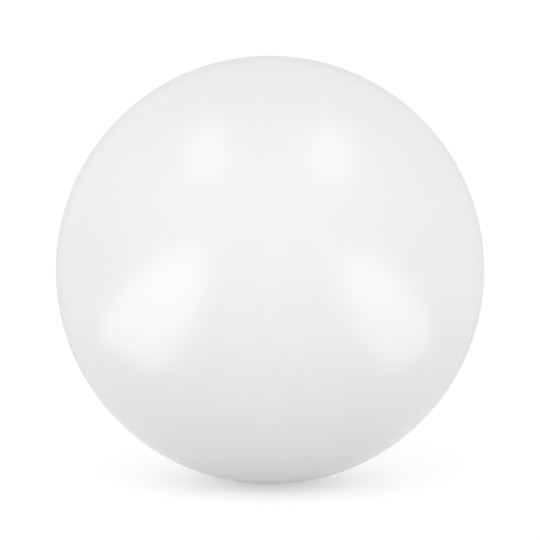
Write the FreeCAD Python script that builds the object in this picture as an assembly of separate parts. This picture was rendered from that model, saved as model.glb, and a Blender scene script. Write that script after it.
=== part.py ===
"""Cue ball: a two-shot cast resin ball for pool.

A mineral-filled core gives the ball its weight, and a white skin of clean resin is cast round it and polished.
The two are bonded over the whole of the core's surface, so their faces meet with no gap.

Units are millimetres. The origin is the ball's centre, and +Z is up.
"""
import FreeCAD, Part
import os

# Driving dimensions
BALL_DIAMETER = 57.15  # regulation pool ball, 2 1/4 inches
SHELL_WALL = 6.0  # thickness of the white skin, the same all round
BOND_GAP = 0.0  # the skin is cast against the core, so it touches it everywhere

# Sizes that follow from them
BALL_RADIUS = BALL_DIAMETER / 2
CAVITY_RADIUS = BALL_RADIUS - SHELL_WALL
CORE_RADIUS = CAVITY_RADIUS - BOND_GAP

CENTRE = FreeCAD.Vector(0, 0, 0)
UP = FreeCAD.Vector(0, 0, 1)


def ball(radius):
    """A solid ball about the centre, whose poles are at its top and bottom."""
    return Part.makeSphere(radius, CENTRE, UP)


def filled_core():
    """The heavy centre, cast first."""
    return ball(CORE_RADIUS)


def outer_shell():
    """The polished white skin, with the round cavity that the core fills."""
    return ball(BALL_RADIUS).cut(ball(CAVITY_RADIUS))


def main():
    os.makedirs("parts", exist_ok=True)
    for make_piece in (filled_core, outer_shell):
        make_piece().exportStep(f"parts/{make_piece.__name__}.step")


main()
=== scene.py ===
import itertools
import math

import bmesh
import bpy
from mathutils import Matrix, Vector


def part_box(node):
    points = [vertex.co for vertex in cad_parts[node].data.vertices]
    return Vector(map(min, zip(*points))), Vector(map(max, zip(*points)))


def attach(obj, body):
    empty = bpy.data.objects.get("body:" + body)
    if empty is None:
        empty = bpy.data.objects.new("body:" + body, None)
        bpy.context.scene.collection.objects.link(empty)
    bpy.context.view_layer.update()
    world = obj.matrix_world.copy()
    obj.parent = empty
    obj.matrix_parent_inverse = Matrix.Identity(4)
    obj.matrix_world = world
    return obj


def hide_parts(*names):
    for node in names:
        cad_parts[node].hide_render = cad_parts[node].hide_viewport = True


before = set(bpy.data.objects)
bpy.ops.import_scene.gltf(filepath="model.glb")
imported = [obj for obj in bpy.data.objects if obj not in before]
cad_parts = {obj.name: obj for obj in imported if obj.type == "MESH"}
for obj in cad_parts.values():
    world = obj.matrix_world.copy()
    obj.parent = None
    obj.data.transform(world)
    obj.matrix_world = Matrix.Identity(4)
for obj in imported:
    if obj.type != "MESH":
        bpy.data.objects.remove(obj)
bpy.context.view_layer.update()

# The looks of a plain white cue ball: a polished resin shell, closed round a filled resin core.
# Everything is in metres, with the origin at the ball's centre and +Z up.

# Sizes from the frame
shell_low, shell_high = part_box("outer_shell")
core_low, core_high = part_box("filled_core")
BALL_RADIUS = (shell_high.z - shell_low.z) / 2
CORE_RADIUS = (core_high.z - core_low.z) / 2
TABLE_Z = shell_low.z

# Faces across each of the six sides of a round surface
OUTSIDE_FACES = 64
BOND_FACES = 40

# Noise: the values that it mostly lies between, and its usual detail
NOISE_LOW = 0.3
NOISE_HIGH = 0.7
NOISE_DETAIL = 2.0

# White resin: faint clouds in its colour, a patchy polish, and orange peel in its surface
CLOUD_SIZE = 0.018
CLOUD_COLOURS = ((0.826, 0.826, 0.826), (0.838, 0.838, 0.838))
POLISH_SIZE = 0.004
POLISH_DETAIL = 4.0
POLISH_ROUGHNESS = (0.17, 0.21)
RESIN_IOR = 1.6
PEEL_SIZE = 0.0012
PEEL_DEPTH = 0.000002
PEEL_STRENGTH = 0.3

# Filled resin: pale and dark grains
GRAIN_SIZE = 0.0006
GRAIN_DETAIL = 3.0
GRAIN_COLOURS = ((0.34, 0.31, 0.27), (0.52, 0.49, 0.44))
GRAIN_DEPTH = 0.00005
GRAIN_STRENGTH = 1.0
DULL_SIZE = 0.002
DULL_ROUGHNESS = (0.6, 0.85)

# Camera: a long lens, a little above the ball
CAMERA_ELEVATION = 6.0  # degrees
CAMERA_LENS = 200.0  # mm
SENSOR_WIDTH = 36.0  # mm
BALL_SHARE = 0.794  # of the picture's width

# Room light, where 1 is white: its level overhead, the rise from there to the horizon, and more from the
# front. The front's middle is turned from the camera's side, to the left where this is minus.
ROOM_OVERHEAD = 0.46
ROOM_RISE = 1.06
ROOM_FRONT = 0.45
ROOM_FRONT_TURN = -7.0  # degrees

# Floor: its paint, the light it gives from below, and the glow that brings it up to white where it is seen
FLOOR_HALF = 4.0
FLOOR_FACES = 8
FLOOR_PAINT = 0.68
FLOOR_LIGHT = 0.08
FLOOR_GLOW = 0.36

# Sheets that only show mirrored in the ball: how far off it they stand, or what share of the way to the
# floor
SHEET_DISTANCE = 0.25
SHEET_DROP = 0.97

# Soft panels, as the ball mirrors them to the camera: how bright, and the spot on the ball of each corner,
# in ball radii to the right and up
PANELS = {
    "upper_left": (1.05, ((-0.40, 0.67), (-0.15, 0.71), (-0.15, 0.33), (-0.42, 0.32))),
    "upper_right": (1.0, ((0.14, 0.68), (0.38, 0.69), (0.41, 0.33), (0.12, 0.33))),
    "lower_left": (1.7, ((-0.45, 0.18), (-0.15, 0.16), (-0.43, -0.59), (-0.90, -0.30))),
    "lower_right": (1.5, ((0.16, 0.14), (0.50, 0.13), (0.83, -0.30), (0.50, -0.59))),
}
PANEL_ROUNDNESS = 3  # 2 is an oval glow, and more is squarer
PANEL_FACES = 48

# Louvres on the panels cut the light that would only graze the ball's edge. Light that passes the ball's
# centre within the first distance, in ball radii, goes through whole, and past the second it is all cut.
LOUVRE_WHOLE = 0.75
LOUVRE_CUT = 0.9
# Each distance also lies at least this far past the light that the camera sees mirrored
LOUVRE_WHOLE_PAST = 0.04
LOUVRE_CUT_PAST = 0.12

# Grey card behind the ball, mirrored only along its edge, so that a white ball stands out from a white
# room: how bright, from where on the ball and how far inward it shows, in ball radii, and round which
# part of the edge, in degrees up from the right
CARD_BRIGHTNESS = 0.77
CARD_EDGE = 0.9995
CARD_WIDTH = 0.1
CARD_FROM = -60.0
CARD_TO = 240.0
CARD_FADE = 40.0  # at each end
CARD_RINGS = 12
CARD_STEPS = 80

STUDIO = bpy.context.scene


def link(thing):
    """Puts a new object in the scene."""
    STUDIO.collection.objects.link(thing)
    return thing


# Shapes


def round_surface(radius, faces_across, inward=False):
    """A closed ball of four-sided faces: a cube's grid, spaced by angle and pushed out to the radius."""
    bm = bmesh.new()
    bmesh.ops.create_cube(bm, size=2)
    bmesh.ops.subdivide_edges(bm, edges=bm.edges[:], cuts=faces_across - 1, use_grid_fill=True)
    for vert in bm.verts:
        vert.co = Vector([math.tan(c * math.pi / 4) for c in vert.co]).normalized() * radius
    if inward:
        bmesh.ops.reverse_faces(bm, faces=bm.faces[:])
    surface = bpy.data.meshes.new("surface")
    bm.to_mesh(surface)
    bm.free()
    return surface


def piece_of(name, *surfaces):
    """One smooth piece whose skin is these closed surfaces."""
    bm = bmesh.new()
    for surface in surfaces:
        bm.from_mesh(surface)
        bpy.data.meshes.remove(surface)
    for face in bm.faces:
        face.smooth = True
    mesh = bpy.data.meshes.new(name)
    bm.to_mesh(mesh)
    bm.free()
    return link(bpy.data.objects.new(name, mesh))


# Materials


def new_material(name):
    """A material, its nodes, its links and its main shader."""
    material = bpy.data.materials.new(name)
    material.use_nodes = True
    tree = material.node_tree
    return material, tree.nodes, tree.links, tree.nodes["Principled BSDF"]


def combined(nodes, links, operation, first, second):
    """What a math node's operation, such as ADD, makes of two values."""
    result = nodes.new("ShaderNodeMath")
    result.operation = operation
    links.new(first, result.inputs[0])
    links.new(second, result.inputs[1])
    return result.outputs["Value"]


def stretched(nodes, links, value, low, high, start=0, end=1):
    """A value that runs from low to high while the given one runs from start to end, and stops there."""
    stretch = nodes.new("ShaderNodeMapRange")
    stretch.inputs["From Min"].default_value = start
    stretch.inputs["From Max"].default_value = end
    stretch.inputs["To Min"].default_value = low
    stretch.inputs["To Max"].default_value = high
    links.new(value, stretch.inputs["Value"])
    return stretch.outputs["Result"]


def noise(nodes, links, place, size, detail=NOISE_DETAIL):
    """Noise whose lumps are about size metres across, fixed to the piece."""
    texture = nodes.new("ShaderNodeTexNoise")
    texture.inputs["Scale"].default_value = 1 / size
    texture.inputs["Detail"].default_value = detail
    links.new(place, texture.inputs["Vector"])
    return texture.outputs["Fac"]


def spread(nodes, links, value, low, high):
    """A noise stretched to use the whole way from low to high."""
    return stretched(nodes, links, value, low, high, NOISE_LOW, NOISE_HIGH)


def colour_between(nodes, links, share, first, second):
    """A colour that runs from first to second."""
    ramp = nodes.new("ShaderNodeMix")
    ramp.data_type = "RGBA"
    ramp.inputs["A"].default_value = (*first, 1)
    ramp.inputs["B"].default_value = (*second, 1)
    links.new(share, ramp.inputs["Factor"])
    return ramp.outputs["Result"]


def bumps(nodes, links, height, depth, strength):
    """Normals for bumps of this depth, in metres, and this strength, from 0 to 1."""
    bump = nodes.new("ShaderNodeBump")
    bump.inputs["Distance"].default_value = depth
    bump.inputs["Strength"].default_value = strength
    links.new(height, bump.inputs["Height"])
    return bump.outputs["Normal"]


def white_resin():
    """Polished white casting resin."""
    material, nodes, links, shader = new_material("white_resin")
    place = nodes.new("ShaderNodeTexCoord").outputs["Object"]
    clouds = spread(nodes, links, noise(nodes, links, place, CLOUD_SIZE), 0, 1)
    links.new(colour_between(nodes, links, clouds, *CLOUD_COLOURS), shader.inputs["Base Color"])
    polish = noise(nodes, links, place, POLISH_SIZE, POLISH_DETAIL)
    links.new(spread(nodes, links, polish, *POLISH_ROUGHNESS), shader.inputs["Roughness"])
    shader.inputs["IOR"].default_value = RESIN_IOR
    peel = noise(nodes, links, place, PEEL_SIZE)
    links.new(bumps(nodes, links, peel, PEEL_DEPTH, PEEL_STRENGTH), shader.inputs["Normal"])
    return material


def filled_resin():
    """Resin loaded with ground mineral: a dull buff grey."""
    material, nodes, links, shader = new_material("filled_resin")
    place = nodes.new("ShaderNodeTexCoord").outputs["Object"]
    grains = noise(nodes, links, place, GRAIN_SIZE, GRAIN_DETAIL)
    colour = colour_between(nodes, links, spread(nodes, links, grains, 0, 1), *GRAIN_COLOURS)
    links.new(colour, shader.inputs["Base Color"])
    dull = noise(nodes, links, place, DULL_SIZE)
    links.new(spread(nodes, links, dull, *DULL_ROUGHNESS), shader.inputs["Roughness"])
    links.new(bumps(nodes, links, grains, GRAIN_DEPTH, GRAIN_STRENGTH), shader.inputs["Normal"])
    return material


# Camera


def way_to(azimuth, elevation):
    """The direction at an azimuth, to the right of the camera's side, and an elevation, in degrees."""
    turn, rise = math.radians(azimuth), math.radians(elevation)
    return Vector((math.sin(turn) * math.cos(rise), -math.cos(turn) * math.cos(rise), math.sin(rise)))


def eye_distance():
    """How far the camera stands from the ball's centre."""
    half_view = math.atan(SENSOR_WIDTH / 2 / CAMERA_LENS)
    return BALL_RADIUS / math.sin(math.atan(BALL_SHARE * math.tan(half_view)))


def camera():
    """A camera with a long lens, looking at the ball's centre."""
    lens = bpy.data.cameras.new("camera")
    lens.lens = CAMERA_LENS
    lens.sensor_width = SENSOR_WIDTH
    eye = link(bpy.data.objects.new("camera", lens))
    away = way_to(0, CAMERA_ELEVATION)
    eye.location = away * eye_distance()
    eye.rotation_euler = (-away).to_track_quat("-Z", "Y").to_euler()
    STUDIO.camera = eye


# Floor and room


def seen_directly(nodes, links):
    """1 for a ray from the camera, or from one that a shiny or clear thing sent on, else 0."""
    path = nodes.new("ShaderNodeLightPath").outputs
    either = combined(nodes, links, "MAXIMUM", path["Is Camera Ray"], path["Is Glossy Ray"])
    return combined(nodes, links, "MAXIMUM", either, path["Is Transmission Ray"])


def floor_paint():
    """Matt pale paint that gives a little light, and glows up to white where it is seen."""
    material, nodes, links, shader = new_material("floor_paint")
    shader.inputs["Base Color"].default_value = (FLOOR_PAINT, FLOOR_PAINT, FLOOR_PAINT, 1)
    shader.inputs["Roughness"].default_value = 1.0
    shader.inputs["Specular IOR Level"].default_value = 0
    shader.inputs["Emission Color"].default_value = (1, 1, 1, 1)
    lift = nodes.new("ShaderNodeMath")
    lift.operation = "MULTIPLY_ADD"
    lift.inputs[1].default_value = FLOOR_GLOW
    lift.inputs[2].default_value = FLOOR_LIGHT
    links.new(seen_directly(nodes, links), lift.inputs[0])
    links.new(lift.outputs["Value"], shader.inputs["Emission Strength"])
    return material


def pale_floor():
    """A pale floor that shows as white, and keeps the ball's shadow."""
    bm = bmesh.new()
    bmesh.ops.create_grid(bm, x_segments=FLOOR_FACES, y_segments=FLOOR_FACES, size=FLOOR_HALF)
    mesh = bpy.data.meshes.new("floor")
    bm.to_mesh(mesh)
    bm.free()
    mesh.materials.append(floor_paint())
    floor = link(bpy.data.objects.new("floor", mesh))
    floor.location.z = TABLE_Z


def room_shading(nodes, links):
    """How much light comes from each direction: the most from the horizon and the front."""
    way = nodes.new("ShaderNodeTexCoord").outputs["Generated"]
    split = nodes.new("ShaderNodeSeparateXYZ")
    links.new(way, split.inputs["Vector"])
    height = stretched(nodes, links, split.outputs["Z"], ROOM_OVERHEAD + ROOM_RISE, ROOM_OVERHEAD)
    facing = nodes.new("ShaderNodeVectorMath")
    facing.operation = "DOT_PRODUCT"
    facing.inputs[1].default_value = way_to(ROOM_FRONT_TURN, 0)
    links.new(way, facing.inputs[0])
    front = stretched(nodes, links, facing.outputs["Value"], 0, ROOM_FRONT)
    return combined(nodes, links, "ADD", height, front)


def room_light():
    """A white room: plain white where it is seen, and softly shaded where it only lights things."""
    world = bpy.data.worlds.new("room")
    world.use_nodes = True
    nodes, links = world.node_tree.nodes, world.node_tree.links
    shown = nodes.new("ShaderNodeMix")
    links.new(seen_directly(nodes, links), shown.inputs["Factor"])
    links.new(room_shading(nodes, links), shown.inputs["A"])
    shown.inputs["B"].default_value = 1
    sky = nodes["Background"]
    sky.inputs["Color"].default_value = (1, 1, 1, 1)
    links.new(shown.outputs["Result"], sky.inputs["Strength"])
    STUDIO.world = world


# Sheets that only show mirrored


def bare_material(name):
    """A material, its nodes, its links, and the socket that its look goes to."""
    material = bpy.data.materials.new(name)
    material.use_nodes = True
    nodes, links = material.node_tree.nodes, material.node_tree.links
    nodes.clear()
    return material, nodes, links, nodes.new("ShaderNodeOutputMaterial").inputs["Surface"]


def mesh_value(nodes, name):
    """A value kept at the mesh's corners."""
    value = nodes.new("ShaderNodeAttribute")
    value.attribute_name = name
    return value.outputs["Fac"]


def passing_distance(nodes, links):
    """How far a ray through the sheet passes from the ball's centre, which the sheet's normals point at.

    Facing is 1 less the cosine of the angle between the ray and the normal. Facing times 2 less facing is
    the square of that angle's sine.
    """
    angle = nodes.new("ShaderNodeLayerWeight")
    angle.inputs["Blend"].default_value = 0.5  # leaves facing unbent
    facing = angle.outputs["Facing"]
    rest = nodes.new("ShaderNodeMath")
    rest.operation = "SUBTRACT"
    rest.inputs[0].default_value = 2
    links.new(facing, rest.inputs[1])
    sine = nodes.new("ShaderNodeMath")
    sine.operation = "SQRT"
    links.new(combined(nodes, links, "MULTIPLY", facing, rest.outputs["Value"]), sine.inputs[0])
    away = nodes.new("ShaderNodeVectorMath")
    away.operation = "LENGTH"
    links.new(nodes.new("ShaderNodeTexCoord").outputs["Object"], away.inputs[0])
    return combined(nodes, links, "MULTIPLY", sine.outputs["Value"], away.outputs["Value"])


def louvres(nodes, links, brightness):
    """The brightness that the louvres let through."""
    through = nodes.new("ShaderNodeMapRange")
    through.interpolation_type = "SMOOTHSTEP"
    through.inputs["To Min"].default_value = brightness
    through.inputs["To Max"].default_value = 0
    links.new(passing_distance(nodes, links), through.inputs["Value"])
    links.new(mesh_value(nodes, "whole"), through.inputs["From Min"])
    links.new(mesh_value(nodes, "cut"), through.inputs["From Max"])
    return through.outputs["Result"]


def panel_glow(brightness):
    """A clear sheet that adds its own light, faded by the mesh's glow values and cut by its louvres."""
    material, nodes, links, surface = bare_material("panel_glow")
    light = nodes.new("ShaderNodeEmission")
    let_through = louvres(nodes, links, brightness)
    strength = combined(nodes, links, "MULTIPLY", mesh_value(nodes, "glow"), let_through)
    links.new(strength, light.inputs["Strength"])
    both = nodes.new("ShaderNodeAddShader")
    links.new(light.outputs["Emission"], both.inputs[0])
    links.new(nodes.new("ShaderNodeBsdfTransparent").outputs["BSDF"], both.inputs[1])
    links.new(both.outputs["Shader"], surface)
    return material


def card_grey():
    """A grey sheet, clear where the mesh's glow values are 0."""
    material, nodes, links, surface = bare_material("card_grey")
    grey = nodes.new("ShaderNodeEmission")
    grey.inputs["Strength"].default_value = CARD_BRIGHTNESS
    shown = nodes.new("ShaderNodeMixShader")
    links.new(mesh_value(nodes, "glow"), shown.inputs["Fac"])
    links.new(nodes.new("ShaderNodeBsdfTransparent").outputs["BSDF"], shown.inputs[1])
    links.new(grey.outputs["Emission"], shown.inputs[2])
    links.new(shown.outputs["Shader"], surface)
    return material


def smooth(share):
    """Eases a share of the way, held between 0 and 1."""
    share = min(1, max(0, share))
    return share**2 * (3 - 2 * share)


def panel_rows(corners):
    """Rows of spots on the ball between four corners, each with a glow that fades towards the sides."""
    first, second, third, fourth = (Vector(corner) for corner in corners)
    steps = [i / PANEL_FACES for i in range(PANEL_FACES + 1)]
    fades = [abs(2 * step - 1) ** PANEL_ROUNDNESS for step in steps]
    rows = []
    for down, down_fade in zip(steps, fades):
        start, end = first.lerp(fourth, down), second.lerp(third, down)
        row = []
        for along, along_fade in zip(steps, fades):
            row.append((start.lerp(end, along), smooth(1 - along_fade - down_fade)))
        rows.append(row)
    return rows


def card_rows():
    """Rows of spots along the ball's edge, each with a glow that fades inward and towards the ends."""
    rows = []
    for i in range(CARD_RINGS + 1):
        inward = (i / CARD_RINGS) ** 2  # so that the rows crowd towards the edge
        out = CARD_EDGE - CARD_WIDTH * inward
        row = []
        for j in range(CARD_STEPS + 1):
            turn = CARD_FROM + (CARD_TO - CARD_FROM) * j / CARD_STEPS
            spot = (out * math.cos(math.radians(turn)), out * math.sin(math.radians(turn)))
            ends = smooth((turn - CARD_FROM) / CARD_FADE) * smooth((CARD_TO - turn) / CARD_FADE)
            row.append((spot, ends * smooth(1 - inward)))
        rows.append(row)
    return rows


def mirrored(spot, eye_place):
    """The place of a spot on the ball, and the direction that the camera sees mirrored there.

    The spot is given in ball radii to the camera's right and up.
    """
    right, up = spot
    toward_eye = eye_place.normalized()
    level = Vector((1, 0, 0))
    outward = level * right + toward_eye.cross(level) * up + toward_eye * math.sqrt(1 - right**2 - up**2)
    place = outward * BALL_RADIUS
    look = (eye_place - place).normalized()
    return place, outward * 2 * outward.dot(look) - look


def sheet_corner(spot, eye_place):
    """Where a sheet stands for a spot on the ball, and how far from the ball's centre its light passes.

    It stands off the ball in the direction that the camera sees mirrored at the spot. Where that goes down
    to the floor, it lies just over the floor. The distance from the centre is in ball radii.
    """
    place, way = mirrored(spot, eye_place)
    reach = SHEET_DISTANCE
    if way.z < 0:
        reach = min(reach, SHEET_DROP * (place.z - TABLE_Z) / -way.z)
    return place + way * reach, place.cross(way).length / BALL_RADIUS


def mirrored_sheet(name, rows, material):
    """A sheet that only shows mirrored in the ball, from rows of spots on the ball and their glows.

    Its normals point at the ball's centre.
    """
    eye_place = way_to(0, CAMERA_ELEVATION) * eye_distance()
    places = []
    values = {"glow": [], "whole": [], "cut": []}
    for spot, glow in itertools.chain(*rows):
        place, passing = sheet_corner(spot, eye_place)
        places.append(place)
        values["glow"].append(glow)
        values["whole"].append(BALL_RADIUS * max(LOUVRE_WHOLE, passing + LOUVRE_WHOLE_PAST))
        values["cut"].append(BALL_RADIUS * max(LOUVRE_CUT, passing + LOUVRE_CUT_PAST))
    across = len(rows[0])
    starts = [i * across + j for i in range(len(rows) - 1) for j in range(across - 1)]
    mesh = bpy.data.meshes.new(name)
    mesh.from_pydata(places, [], [(k, k + 1, k + across + 1, k + across) for k in starts])
    for label, numbers in values.items():
        mesh.attributes.new(label, "FLOAT", "POINT").data.foreach_set("value", numbers)
    mesh.shade_smooth()
    mesh.normals_split_custom_set_from_vertices([-place.normalized() for place in places])
    mesh.materials.append(material)
    sheet = link(bpy.data.objects.new(name, mesh))
    sheet.visible_camera = False
    sheet.visible_diffuse = False
    sheet.visible_shadow = False


# The ball

shell = piece_of(
    "polished_shell",
    round_surface(BALL_RADIUS, OUTSIDE_FACES),
    round_surface(CORE_RADIUS, BOND_FACES, inward=True),
)
shell.data.materials.append(white_resin())
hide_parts("outer_shell")
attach(shell, "root")

core = piece_of("cast_core", round_surface(CORE_RADIUS, BOND_FACES))
core.data.materials.append(filled_resin())
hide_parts("filled_core")
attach(core, "root")

# The studio

pale_floor()
room_light()
for name, (brightness, corners) in PANELS.items():
    mirrored_sheet(name, panel_rows(corners), panel_glow(brightness))
mirrored_sheet("grey_card", card_rows(), card_grey())
camera()
STUDIO.view_settings.view_transform = "Standard"
